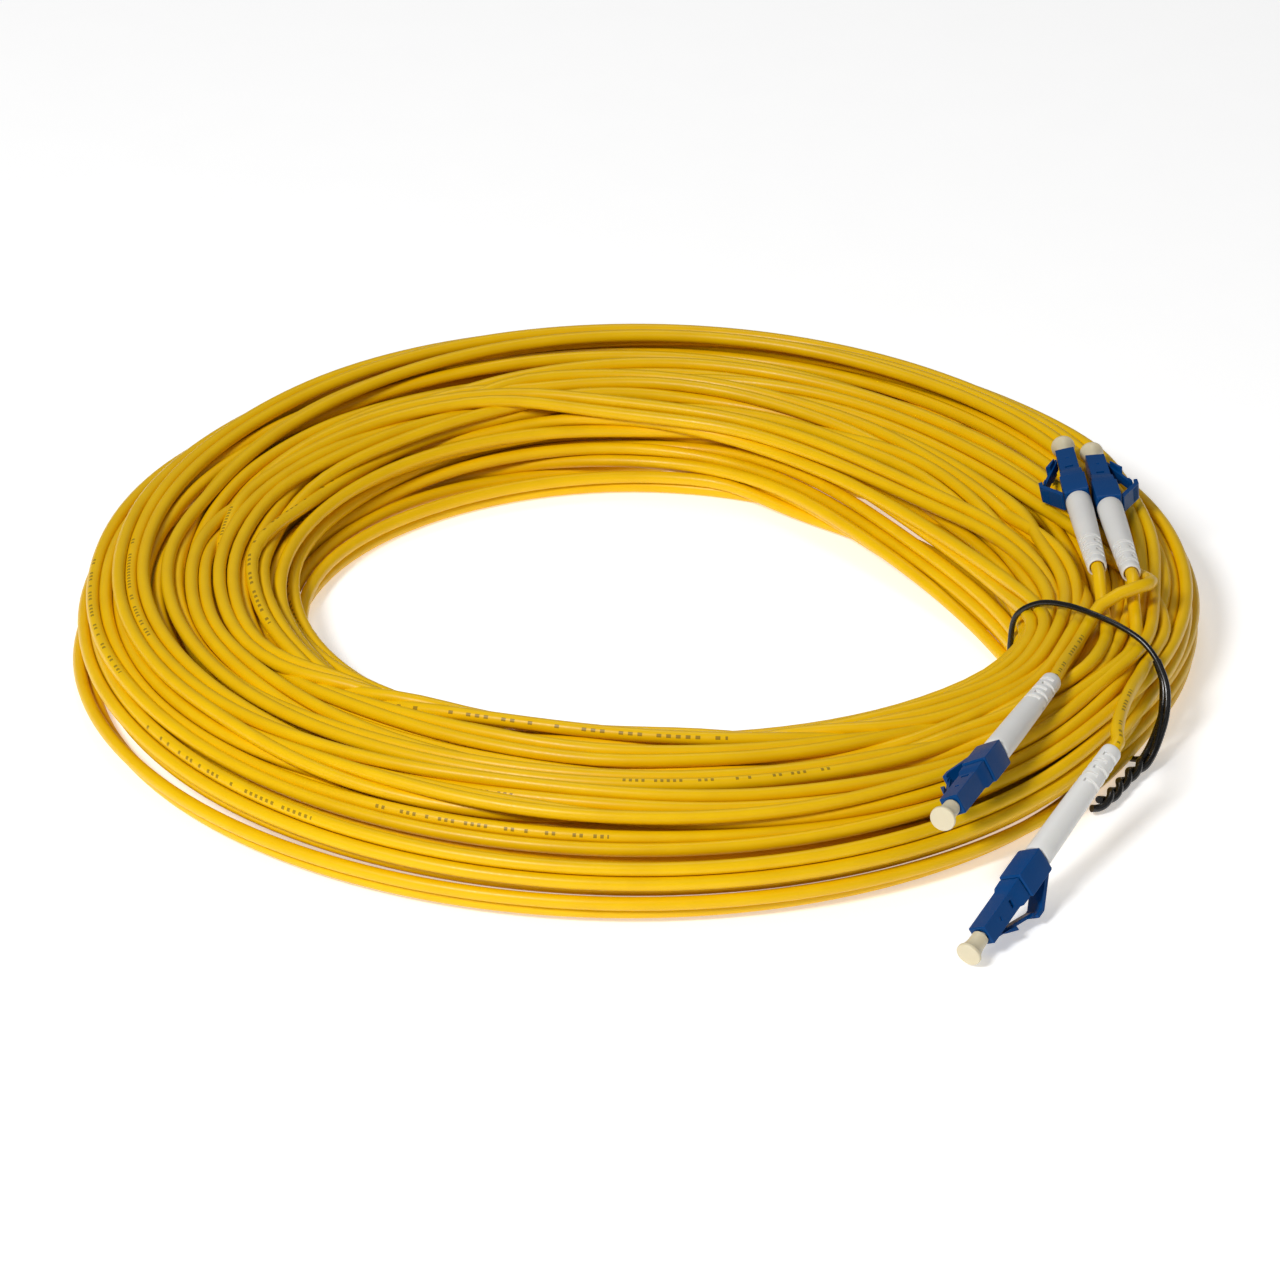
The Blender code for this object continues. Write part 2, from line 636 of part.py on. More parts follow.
loop = [Vector(point) * MM for point in TIE_ROUTE]
closed = smooth_route([loop[-1]] + loop + [loop[0]], 4 * TIE_DIAMETER)
start = next(i for i, p in enumerate(closed) if (p - loop[0]).length < 1e-9)
tube("wire_tie", closed[start:-1], TIE_DIAMETER, TIE_BLACK, cord_set, cyclic=True)
tube("wire_tie_twist", smooth_route([Vector(p) * MM for p in TWIST_ROUTE], 2 * TIE_DIAMETER), TWIST_DIAMETER,
     TIE_BLACK, cord_set)
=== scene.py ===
"""A yellow duplex fibre optic patch cord in a loose coil, tied with a black wire tie, with four capped plugs."""
import json
import math

import bmesh
import bpy
import numpy as np
from mathutils import Matrix, Vector


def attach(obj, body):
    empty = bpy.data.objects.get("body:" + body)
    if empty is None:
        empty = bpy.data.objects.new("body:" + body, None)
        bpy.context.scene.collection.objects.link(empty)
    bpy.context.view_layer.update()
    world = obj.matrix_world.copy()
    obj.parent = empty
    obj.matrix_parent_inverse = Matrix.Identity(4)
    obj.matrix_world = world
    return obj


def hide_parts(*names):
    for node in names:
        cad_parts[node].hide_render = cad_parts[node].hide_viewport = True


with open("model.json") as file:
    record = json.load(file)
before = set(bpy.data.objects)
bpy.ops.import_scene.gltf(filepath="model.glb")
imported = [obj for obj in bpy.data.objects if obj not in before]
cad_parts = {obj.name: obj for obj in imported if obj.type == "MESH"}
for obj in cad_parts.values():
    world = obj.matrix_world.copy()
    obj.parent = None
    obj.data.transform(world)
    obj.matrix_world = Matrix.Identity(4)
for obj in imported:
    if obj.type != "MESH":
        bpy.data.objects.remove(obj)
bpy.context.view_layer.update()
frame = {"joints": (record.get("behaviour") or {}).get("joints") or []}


# The viewpoint: a long lens from in front and above, which looks down on the coil at 28 degrees.
# It isn't part of the object.

view = bpy.data.cameras.new("view")
view.lens = 165.8
view.sensor_width = 36.0
viewpoint = bpy.data.objects.new("view", view)
viewpoint.location = (-0.0001, -1.1916, 0.6370)
viewpoint.rotation_euler = (math.radians(62.0), 0.0, 0.0)
bpy.context.scene.collection.objects.link(viewpoint)
bpy.context.scene.camera = viewpoint


# Where each connector lies. Its plug is square, and its frame has X along the ferrule towards the tip,
# Z out on the latch's side, and its origin in the middle of the plug's front face. The frame comes from
# the joints: the dust cap slides along X, and the latch turns about -Y at the inner corner of its root.

MM = 0.001
LATCH_CORNER = Vector((-4.1, 0.0, 2.38)) * MM
joints = {joint["name"]: joint for joint in frame["joints"]}
ENDS = ("a1", "a2", "b1", "b2")


def connector_frame(end):
    ahead = Vector(joints[f"{end}_cap_slide"]["axis"])
    across = -Vector(joints[f"{end}_latch_hinge"]["axis"])
    up = ahead.cross(across)
    turn = Matrix((ahead, across, up)).transposed()
    corner = Vector(joints[f"{end}_latch_hinge"]["pos_m"])
    return Matrix.Translation(corner - turn @ LATCH_CORNER) @ turn.to_4x4()


connector = {end: connector_frame(end) for end in ENDS}


# The cord: two round 3 mm jackets moulded side by side, 25 m of them, wound by hand into 38 loose turns.
# Each turn is a circle a little off centre, so the turns cross each other at small angles. The section
# is worked out at stations round the coil, where the jackets push each other apart and lie together.

JACKET = 3.0 * MM
CORD_LENGTH = 25.0
CORD_ENDS = {"cord_a": ("a1", "b1"), "cord_b": ("a2", "b2")}
TURNS = 38
STATIONS = 96
COIL_Y = 8.9 * MM
FIRST_ANGLE = math.radians(-6.0)
TURN_STEP = math.tau / STATIONS
BOOT_REAR = -61.7 * MM
JACKET_FRONT = -31.4 * MM

# The legs between the boots and the coil, from the coil's centre in millimetres
LEGS = {
    "a1": ((93.0, -57.0, 22.9), (96.8, -45.0, 21.3), (99.8, -35.5, 20.9), (103.0, -30.2, 23.4),
           (107.4, -28.2, 25.4), (111.8, -26.0, 26.0), (116.1, -21.2, 24.8), (117.8, -13.5, 22.0)),
    "a2": ((103.0, -84.4, 21.2), (104.9, -73.5, 20.6), (107.8, -62.2, 19.6), (110.4, -53.0, 18.0),
           (112.4, -45.4, 16.8), (116.8, -33.5, 16.6), (120.6, -22.5, 16.2)),
    "b1": ((103.8, -20.4, 22.8), (104.1, -25.6, 20.4), (104.4, -33.6, 19.8), (103.4, -41.5, 20.3),
           (100.6, -50.3, 21.0), (96.4, -60.4, 21.2)),
    "b2": ((110.9, -23.4, 22.6), (111.1, -28.6, 20.4), (110.9, -36.4, 19.2), (109.4, -45.0, 19.2),
           (106.0, -54.0, 20.4)),
}
# The tie's loop round the bundle, from the coil's centre in millimetres
TIE_LOOP = (
    (84.8, -21.9, 9.5), (86.2, -22.2, 15.5), (90.2, -25.4, 20.6), (95.4, -30.2, 23.6),
    (101.5, -35.8, 24.1), (107.4, -40.4, 23.2), (112.1, -44.3, 21.2), (115.3, -48.0, 17.4),
    (115.8, -51.0, 12.6), (114.2, -55.4, 8.0), (111.6, -58.8, 4.6), (107.2, -57.8, 1.9),
    (102.0, -51.0, 0.74), (97.0, -43.5, 0.72), (92.0, -34.0, 0.76), (87.4, -25.6, 1.9), (85.2, -22.4, 4.8),
)
TIE_DIAMETER = 1.35 * MM


def spline(points, spacing, closed=False):
    """Points about one spacing apart on a Catmull-Rom curve through the given ones."""
    points = np.asarray(points, float)
    if closed:
        ends = np.vstack((points[-1], points, points[0], points[1]))
    else:
        ends = np.vstack((2 * points[0] - points[1], points, 2 * points[-1] - points[-2]))
    route = []
    for before, start, end, after in zip(ends, ends[1:], ends[2:], ends[3:]):
        pieces = max(1, round(float(np.linalg.norm(end - start)) / spacing))
        for step in range(pieces):
            t = step / pieces
            route.append(0.5 * (2 * start + (end - before) * t
                                + (2 * before - 5 * start + 4 * end - after) * t ** 2
                                + (3 * start - before - 3 * end + after) * t ** 3))
    if not closed:
        route.append(points[-1])
    return np.array(route)


def leg_route(end):
    """The leg from inside its boot to where it joins the coil, from the coil's centre."""
    along = (JACKET_FRONT, -45.0 * MM, BOOT_REAR + JACKET, BOOT_REAR - JACKET)
    in_boot = [connector[end] @ Vector((x, 0.0, 0.0)) - Vector((0.0, COIL_Y, 0.0)) for x in along]
    return np.vstack(([list(point) for point in in_boot], np.array(LEGS[end]) * MM))


def near(angle, middle, half_width):
    """From 0 away from an angle to 1 at it, without a corner. The angles are in degrees."""
    away = np.abs((np.degrees(angle) - middle + 180.0) % 360.0 - 180.0) / half_width
    return np.where(away < 1.0, np.cos(np.minimum(away, 1.0) * math.pi / 2) ** 2, 0.0)


def heap_section(angle):
    """The inner and outer radius, floor and top of the heap at an angle, for the jackets' centres."""
    # The hole is a circle but for its right side, where the inner turns run straight to the tie
    inner = 73.0 + 5.5 * near(angle, 168.0, 62.0) + 19.0 * near(angle, -20.0, 52.0) - 3.5 * near(angle, -100.0, 70.0)
    from_chord = (np.degrees(angle) - 34.0 + 180.0) % 360.0 - 180.0
    chord = 58.0 / np.cos(np.radians(np.clip(from_chord, -60.0, 60.0)))
    inner = np.where(np.abs(from_chord) < 52.0, np.minimum(inner, chord), inner)
    outer = 131.0 - 7.5 * near(angle, -26.0, 32.0) + 3.0 * near(angle, 14.0, 32.0) + 2.0 * near(angle, 95.0, 60.0)
    low = 1.5 + 1.45 * near(angle, -22.0, 16.0)
    high = 18.2 + 3.0 * near(angle, -20.0, 14.0) + 3.5 * near(angle, 98.0, 75.0) + 2.5 * near(angle, -105.0, 60.0)
    return inner * MM, outer * MM, low * MM, high * MM


def wander(steps, knots_per_turn, draw):
    """A smooth random value from -1 to 1 along the turns."""
    knots = draw.uniform(-1.0, 1.0, int(TURNS * knots_per_turn) + 4)
    at = np.arange(steps) / STATIONS * knots_per_turn
    whole = at.astype(int)
    share = at - whole
    share = share * share * (3 - 2 * share)
    return knots[whole] * (1 - share) + knots[whole + 1] * share


def laid_turns(angle, draw):
    """Where the hand lays each turn: its share of the way across the heap and up it."""
    steps = len(angle)
    turn = np.arange(steps) / STATIONS
    sweep = 2.0 * np.abs(2.0 * ((0.17 * turn + 0.3) % 1.0) - 1.0) - 1.0
    off_x = 0.30 * wander(steps, 0.8, draw)
    off_y = 0.30 * wander(steps, 0.8, draw)
    across = 0.92 * sweep + off_x * np.cos(angle) + off_y * np.sin(angle) + 0.22 * wander(steps, 2.2, draw)
    dive = np.clip(turn / 1.6, 0.0, 1.0)
    rise = np.clip(turn / (TURNS - 1.0), 0.0, 1.0)
    level = np.where(dive < 1.0, 1.0 - dive * dive * (3 - 2 * dive), rise) + 0.10 * wander(steps, 1.5, draw)
    return np.clip(across, -1.0, 1.0), np.clip(level, 0.0, 1.0)


def push_apart(places, blank, reach):
    """Jackets nearer than the reach in the same station push each other away."""
    steps = places.shape[1]
    slope = np.gradient(places[:, :, 0], axis=1) / (places[:, :, 0] * TURN_STEP)
    square_on = 1.0 / np.sqrt(1.0 + slope ** 2)
    padded = np.full((2, TURNS * STATIONS, 3), 9.0)
    padded[:, :steps, :2] = places
    padded[:, :steps, 2] = square_on
    padded[:, steps:, 0] += np.arange(blank) * 2.0
    padded[1, steps:, 0] += 1.0
    at = padded.reshape(2, TURNS, STATIONS, 3).transpose(2, 0, 1, 3).reshape(STATIONS, 2 * TURNS, 3)
    out = at[:, :, None, 0] - at[:, None, :, 0]
    up = at[:, :, None, 1] - at[:, None, :, 1]
    square_on = (at[:, :, None, 2] + at[:, None, :, 2]) / 2
    distance = np.sqrt((out * square_on) ** 2 + up ** 2) + np.eye(2 * TURNS) * 9.0 + 1e-9
    push = np.maximum(0.0, reach - distance) / distance
    at[:, :, 0] += 0.32 * (push * out).sum(2)
    at[:, :, 1] += 0.55 * (push * up).sum(2)
    padded = at.reshape(STATIONS, 2, TURNS, 3).transpose(1, 2, 0, 3).reshape(2, TURNS * STATIONS, 3)
    return padded[:, :steps, :2].copy()


def give_way(places, angle, fixed):
    """The legs, boots and tie lie still, and the turns near them give way."""
    radius, height = places[:, :, 0], places[:, :, 1]
    cosine, sine = np.cos(angle), np.sin(angle)
    beside = np.nonzero(np.abs((angle + math.pi) % math.tau - math.pi) < math.radians(68.0))[0]
    for start in range(0, len(beside), 400):
        some = beside[start:start + 400]
        solid = np.stack((radius[:, some] * cosine[some], radius[:, some] * sine[some], height[:, some]), 2)
        away = solid[:, :, None] - fixed[:, :3]
        reach = np.sqrt((away ** 2).sum(3)) + 1e-9
        closest = (reach - fixed[:, 3]).argmin(2)[..., None]
        length = np.take_along_axis(reach, closest, 2)[..., 0]
        depth = np.maximum(0.0, fixed[:, 3][closest[..., 0]] - length) / length
        shove = np.take_along_axis(away, closest[..., None], 2)[:, :, 0] * depth[..., None]
        radius[:, some] += shove[:, :, 0] * cosine[some] + shove[:, :, 1] * sine[some]
        height[:, some] += shove[:, :, 2]


def obstacles():
    """Points on what rests on the heap or grips it, each with how far a jacket's centre must stay off."""
    points = []
    middle = Vector((0.0, COIL_Y, 0.0))
    for end in ENDS:
        # The boot, the housings and the cap, which also keeps the way clear that it is pulled off
        solid = [(x, 0.0, 0.0, 3.3 if x < 6.0 else 4.0) for x in np.arange(-62.0, 15.0, 2.0)]
        # The latch and the trigger keep all the room that they are pressed into
        for x, top in ((-8.0, 4.4), (-10.0, 5.2), (-12.0, 5.9), (-14.0, 6.7),
                       (-16.0, 7.5), (-18.0, 7.2), (-20.0, 6.0), (-22.0, 4.8)):
            solid += [(x, y, z, 1.2) for y in (-1.5, 0.0, 1.5) for z in (top - 0.8, top / 2 + 1.3)]
        for x, y, z, radius in solid:
            points.append((*(connector[end] @ (Vector((x, y, z)) * MM) - middle), radius * MM + JACKET / 2))
        for point in spline(leg_route(end)[4:-1], 2.0 * MM):
            points.append((*point, 1.55 * MM + JACKET / 2))
    for point in spline(np.array(TIE_LOOP) * MM, 1.5 * MM, closed=True):
        points.append((*point, TIE_DIAMETER / 2 + JACKET / 2))
    return np.array(points)


def web_share(steps):
    """0 at the split ends, where each jacket runs alone, to 1 along the rest of the pair."""
    from_end = np.minimum(np.arange(steps), np.arange(steps)[::-1])
    return np.clip((from_end - 2) / 10.0, 0.0, 1.0)


def wound_turns():
    """Both jackets' centres along the coil, as (radius, height) at each step, and the steps' angles."""
    draw = np.random.default_rng(7)
    steps = TURNS * STATIONS - 7
    angle = FIRST_ANGLE + np.arange(steps) * TURN_STEP
    across, level = laid_turns(angle, draw)
    inner, outer, low, high = heap_section(angle)
    mid_radius, half_width = (inner + outer) / 2, (outer - inner) / 2
    mid_height, half_height = (low + high) / 2, (high - low) / 2

    aim = np.stack((mid_radius + across * half_width, low + level * (high - low)), 1)
    roll = 0.9 * wander(steps, 1.2, draw)
    lean = np.stack((np.cos(roll), np.sin(roll)), 1) * JACKET / 2
    targets = np.stack((aim - lean, aim + lean))
    places = targets.copy()
    fixed = obstacles()
    web = web_share(steps)[:, None]
    pins = [[leg_route(end)[-1] for end in ends] for ends in CORD_ENDS.values()]

    for iteration in range(ITERATIONS):
        settling = iteration > 0.72 * ITERATIONS
        places += (0.004 if settling else 0.035) * (targets - places)
        for _ in range(2):
            places[:, 1:-1] += (0.3 if settling else 0.45) * ((places[:, :-2] + places[:, 2:]) / 2 - places[:, 1:-1])

        # The web keeps the two jackets of the pair together, and free near the split ends
        gap = places[1] - places[0]
        length = np.maximum(np.linalg.norm(gap, axis=1, keepdims=True), 1e-9)
        fix = 0.5 * (length - JACKET * 1.01) * gap / length * web
        places[0] += fix
        places[1] -= fix

        # The turns lie loosely, so they start with some air round them and end up only not overlapping
        for _ in range(3 if settling else 1):
            places = push_apart(places, TURNS * STATIONS - steps, JACKET * (1.02 if settling else 1.18))
        if iteration % 3 == 0 or iteration > ITERATIONS - 12:
            give_way(places, angle, fixed)

        # The heap keeps its section, domed on top and flat on the floor
        x = np.clip((places[:, :, 0] - mid_radius) / half_width, -1.0, 1.0)
        y = np.maximum((places[:, :, 1] - mid_height) / half_height, -1.0)
        size = (np.abs(x) ** 3.0 + np.maximum(y, 0.0) ** 3.0) ** (1 / 3.0)
        shrink = np.where(size > 1.0, 1.0 / np.maximum(size, 1e-9), 1.0)
        places[:, :, 0] = mid_radius + x * shrink * half_width
        places[:, :, 1] = mid_height + y * np.where(y > 0.0, shrink, 1.0) * half_height
        for which, (start, finish) in enumerate(pins):
            places[which, 0] = math.hypot(start[0], start[1]), start[2]
            places[which, -1] = math.hypot(finish[0], finish[1]), finish[2]
    return places, angle


ITERATIONS = 260
turns, turn_angle = wound_turns()


def jacket_path(which, first, last):
    """One jacket from its near boot, round every turn and into its far boot, in the frame."""
    radius, height = turns[which, :, 0], turns[which, :, 1]
    wound = np.stack((radius * np.cos(turn_angle), radius * np.sin(turn_angle), height), 1)
    head = spline(leg_route(first), 4.0 * MM)
    tail = spline(leg_route(last), 4.0 * MM)[::-1]
    path = np.vstack((head[:-1], wound[1:-1], tail[1:]))
    start, finish = len(head) - 3, len(path) - len(tail) + 3
    for _ in range(2):
        path[start:finish] = (path[start - 1:finish - 1] + path[start:finish] * 2 + path[start + 1:finish + 1]) / 4
    return path + np.array((0.0, COIL_Y, 0.0))


def new_group(name, inputs, outputs):
    """An empty shader node group with named sockets, and its input and output nodes."""
    group = bpy.data.node_groups.new(name, "ShaderNodeTree")
    for label, kind, value in inputs:
        socket = group.interface.new_socket(name=label, in_out="INPUT", socket_type=kind)
        socket.default_value = value
    for label, kind in outputs:
        group.interface.new_socket(name=label, in_out="OUTPUT", socket_type=kind)
    return group, group.nodes.new("NodeGroupInput"), group.nodes.new("NodeGroupOutput")


def moulded_surface():
    """The skin of a moulded or extruded plastic: a fine grain, soft flow marks and slightly uneven colour."""
    group, given, made = new_group(
        "moulded_surface",
        (("Color", "NodeSocketColor", (0.8, 0.8, 0.8, 1.0)), ("Shade Color", "NodeSocketColor", (0.5, 0.5, 0.5, 1.0)),
         ("Grain Scale", "NodeSocketFloat", 2500.0), ("Grain Depth", "NodeSocketFloat", 0.1),
         ("Gloss Low", "NodeSocketFloat", 0.3), ("Gloss High", "NodeSocketFloat", 0.45)),
        (("Color", "NodeSocketColor"), ("Roughness", "NodeSocketFloat"), ("Normal", "NodeSocketVector")))
    nodes, link = group.nodes, group.links.new
    where = nodes.new("ShaderNodeTexCoord")
    grain = nodes.new("ShaderNodeTexNoise")
    grain.inputs["Detail"].default_value = 4.0
    flow = nodes.new("ShaderNodeTexNoise")
    flow.inputs["Scale"].default_value = 120.0
    flow.inputs["Detail"].default_value = 3.0
    link(where.outputs["Object"], grain.inputs["Vector"])
    link(where.outputs["Object"], flow.inputs["Vector"])
    link(given.outputs["Grain Scale"], grain.inputs["Scale"])
    tint = nodes.new("ShaderNodeMix")
    tint.data_type = "RGBA"
    link(flow.outputs["Fac"], tint.inputs["Factor"])
    link(given.outputs["Color"], tint.inputs["A"])
    link(given.outputs["Shade Color"], tint.inputs["B"])
    gloss = nodes.new("ShaderNodeMapRange")
    gloss.inputs["From Min"].default_value = 0.3
    gloss.inputs["From Max"].default_value = 0.7
    link(grain.outputs["Fac"], gloss.inputs["Value"])
    link(given.outputs["Gloss Low"], gloss.inputs["To Min"])
    link(given.outputs["Gloss High"], gloss.inputs["To Max"])
    bump = nodes.new("ShaderNodeBump")
    bump.inputs["Distance"].default_value = 0.0001
    link(given.outputs["Grain Depth"], bump.inputs["Strength"])
    link(grain.outputs["Fac"], bump.inputs["Height"])
    link(tint.outputs["Result"], made.inputs["Color"])
    link(gloss.outputs["Result"], made.inputs["Roughness"])
    link(bump.outputs["Normal"], made.inputs["Normal"])
    return group


moulded = moulded_surface()


def plastic(name, color, shade, grain=(2500.0, 0.1), gloss=(0.3, 0.45), depth_of_light=0.0):
    """A plastic with the moulded skin. The last value is how far light spreads under its surface."""
    material = bpy.data.materials.new(name)
    material.use_nodes = True
    nodes, link = material.node_tree.nodes, material.node_tree.links.new
    shader = nodes["Principled BSDF"]
    skin = nodes.new("ShaderNodeGroup")
    skin.node_tree = moulded
    skin.inputs["Color"].default_value = (*color, 1.0)
    skin.inputs["Shade Color"].default_value = (*shade, 1.0)
    skin.inputs["Grain Scale"].default_value, skin.inputs["Grain Depth"].default_value = grain
    skin.inputs["Gloss Low"].default_value, skin.inputs["Gloss High"].default_value = gloss
    link(skin.outputs["Color"], shader.inputs["Base Color"])
    link(skin.outputs["Roughness"], shader.inputs["Roughness"])
    link(skin.outputs["Normal"], shader.inputs["Normal"])
    if depth_of_light:
        shader.inputs["Subsurface Weight"].default_value = depth_of_light
        shader.inputs["Subsurface Radius"].default_value = (0.0012, 0.0009, 0.0006)
        shader.inputs["Subsurface Scale"].default_value = 1.0
    return material


def printed_jacket():
    """The yellow jacket, with a faint run of plain ink dashes along it every metre."""
    material = plastic("jacket_yellow", (0.90, 0.56, 0.0), (0.79, 0.455, 0.0), (1400.0, 0.10), (0.30, 0.42))
    material.node_tree.nodes["Principled BSDF"].inputs["Specular IOR Level"].default_value = 0.25
    nodes, link = material.node_tree.nodes, material.node_tree.links.new
    shader = nodes["Principled BSDF"]
    skin = next(node for node in nodes if node.type == "GROUP")
    along = nodes.new("ShaderNodeUVMap")
    along.uv_map = "UVMap"
    split = nodes.new("ShaderNodeSeparateXYZ")
    link(along.outputs["UV"], split.inputs["Vector"])

    def calculate(operation, first, second):
        step = nodes.new("ShaderNodeMath")
        step.operation = operation
        for socket, value in zip(step.inputs, (first, second)):
            if isinstance(value, (int, float)):
                socket.default_value = value
            else:
                link(value, socket)
        return step.outputs["Value"]

    metres = calculate("MULTIPLY", split.outputs["X"], CORD_LENGTH)
    in_repeat = calculate("MODULO", metres, 1.0)
    run = calculate("LESS_THAN", in_repeat, 0.058)
    cell = calculate("MULTIPLY", metres, 1 / 0.0016)
    in_cell = calculate("MODULO", cell, 1.0)
    dash = calculate("LESS_THAN", in_cell, 0.5)
    cells = nodes.new("ShaderNodeTexWhiteNoise")
    cells.noise_dimensions = "1D"
    link(calculate("FLOOR", cell, 0.0), cells.inputs["W"])
    present = calculate("GREATER_THAN", cells.outputs["Value"], 0.3)
    height = calculate("ABSOLUTE", calculate("SUBTRACT", split.outputs["Y"], 0.25), 0.0)
    band = calculate("LESS_THAN", height, 0.045)
    ink = calculate("MULTIPLY", calculate("MULTIPLY", run, dash), calculate("MULTIPLY", present, band))
    ink = calculate("MULTIPLY", ink, 0.6)
    printed = nodes.new("ShaderNodeMix")
    printed.data_type = "RGBA"
    link(ink, printed.inputs["Factor"])
    link(skin.outputs["Color"], printed.inputs["A"])
    printed.inputs["B"].default_value = (0.03, 0.02, 0.012, 1.0)
    link(printed.outputs["Result"], shader.inputs["Base Color"])
    return material


def round_tube(name, path, radius, closed=False):
    """A round tube along a path, as a mesh that keeps its length in its UV map."""
    curve = bpy.data.curves.new(name, "CURVE")
    curve.dimensions = "3D"
    curve.bevel_depth = radius
    curve.bevel_resolution = 4
    curve.use_fill_caps = not closed
    line = curve.splines.new("POLY")
    line.points.add(len(path) - 1)
    line.points.foreach_set("co", np.hstack((path, np.ones((len(path), 1)))).astype(np.float32).ravel())
    line.use_cyclic_u = closed
    line.use_smooth = True
    drawn = bpy.data.objects.new(name + "_line", curve)
    bpy.context.scene.collection.objects.link(drawn)
    mesh = bpy.data.meshes.new_from_object(drawn.evaluated_get(bpy.context.evaluated_depsgraph_get()))
    bpy.data.objects.remove(drawn)
    bpy.data.curves.remove(curve)
    mesh.name = name
    mesh.materials.clear()
    piece = bpy.data.objects.new(name, mesh)
    bpy.context.scene.collection.objects.link(piece)
    return piece


jacket_yellow = printed_jacket()
cord_route = {}
for which, (name, (near_end, far_end)) in enumerate(CORD_ENDS.items()):
    path = cord_route[name] = spline(jacket_path(which, near_end, far_end), 4.2 * MM)
    piece = round_tube(name, path, JACKET / 2)
    piece.data.materials.append(jacket_yellow)
    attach(piece, "cord")
    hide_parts(f"{near_end}_cord_leg", f"{far_end}_cord_leg", "cable_coil")


# The boots: soft white sleeves that grip the housings and keep the jacket from bending sharply. Each is
# one moulding with a slight taper, a rounded rear lip and five rows of flex slots near the rear, in
# pairs that alternate top to side.

SIDES = 32
BOOT_FRONT = -25.7
BOOT_STEP = -36.1
SLOT_ROWS = (-49.2, -51.5, -53.8, -56.1, -58.4)
SLOT_HALF_LENGTH = 0.58
SLOT_DEPTH = 0.62


def ring_outline(angle, squareness):
    """A point on a ring of half width 1, from a circle at 0 to a sharp square at 1."""
    across, up = math.cos(angle), math.sin(angle)
    square = 1.0 / max(abs(across), abs(up))
    return across * (1 + (square - 1) * squareness), up * (1 + (square - 1) * squareness)


def sleeve(sections, closed_round=True):
    """A tube along X from rings of (place, half width, squareness). The last meets the first, if asked."""
    mesh = bmesh.new()
    bmesh.ops.create_circle(mesh, segments=SIDES, radius=1.0)
    mesh.verts.ensure_lookup_table()
    start = sorted(mesh.verts, key=lambda v: math.atan2(v.co.y, v.co.x) % math.tau)
    angles = {vert: math.atan2(vert.co.y, vert.co.x) for vert in start}

    def place(verts, section):
        x, half, squareness = section
        for vert in verts:
            across, up = ring_outline(angles[vert], squareness)
            vert.co = (x, across * half, up * half)

    place(start, sections[0])
    first = ring = list(mesh.edges)
    for section in sections[1:]:
        made = bmesh.ops.extrude_edge_only(mesh, edges=ring)["geom"]
        verts = [part for part in made if isinstance(part, bmesh.types.BMVert)]
        for vert in verts:
            near_vert = next(edge.other_vert(vert) for edge in vert.link_edges if edge.other_vert(vert) in angles
                             and edge.other_vert(vert) not in verts)
            angles[vert] = angles[near_vert]
        place(verts, section)
        ring = [part for part in made if isinstance(part, bmesh.types.BMEdge)
                and part.verts[0] in verts and part.verts[1] in verts]
    if closed_round:
        bmesh.ops.bridge_loops(mesh, edges=first + ring)
    return mesh


def finished(name, mesh, end, material, body, slot, *nodes, smooth_under=32.0, edge=0.0):
    """The piece at its connector, in metres, with its normals outwards and its CAD nodes replaced."""
    bmesh.ops.remove_doubles(mesh, verts=mesh.verts, dist=0.001)
    bmesh.ops.transform(mesh, matrix=Matrix.Scale(MM, 4), verts=mesh.verts)
    bmesh.ops.transform(mesh, matrix=connector[end], verts=mesh.verts)
    bmesh.ops.recalc_face_normals(mesh, faces=mesh.faces)
    data = bpy.data.meshes.new(name)
    mesh.to_mesh(data)
    mesh.free()
    data.shade_smooth()
    data.set_sharp_from_angle(angle=math.radians(smooth_under))
    data.materials.append(material)
    piece = bpy.data.objects.new(name, data)
    bpy.context.scene.collection.objects.link(piece)
    if edge:
        rounding = piece.modifiers.new("rounding", "BEVEL")
        rounding.width = edge * MM
        rounding.segments = 2
        rounding.limit_method = "ANGLE"
        rounding.angle_limit = math.radians(34.0)
        rounding.harden_normals = True
    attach(piece, body)
    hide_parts(*nodes)
    return piece


def sink(mesh, chosen, depth, inwards):
    """Press the chosen faces in by a depth, as a pocket with its own walls."""
    faces = [face for face in mesh.faces if chosen(face.calc_center_median())]
    made = bmesh.ops.extrude_face_region(mesh, geom=faces)["geom"]
    bmesh.ops.delete(mesh, geom=faces, context="FACES_ONLY")
    for vert in {part for part in made if isinstance(part, bmesh.types.BMVert)}:
        vert.co += inwards(vert.co) * depth


def outer_radius(x):
    """The boot's outer radius, which narrows from front to rear."""
    share = (BOOT_FRONT - x) / 36.0
    return 3.05 - 0.80 * share + 0.10 * math.sin(math.pi * share)


def in_slot(middle, row, turned):
    """Whether a face is in one of the two slots of a row. The rows are turned by 0 or 90 degrees."""
    around = math.degrees(math.atan2(middle.z, middle.y)) + turned
    from_slot = abs((around + 90.0) % 180.0 - 90.0)
    return abs(middle.x - row) < 0.3 and math.hypot(middle.y, middle.z) > 2.0 and from_slot < 66.0


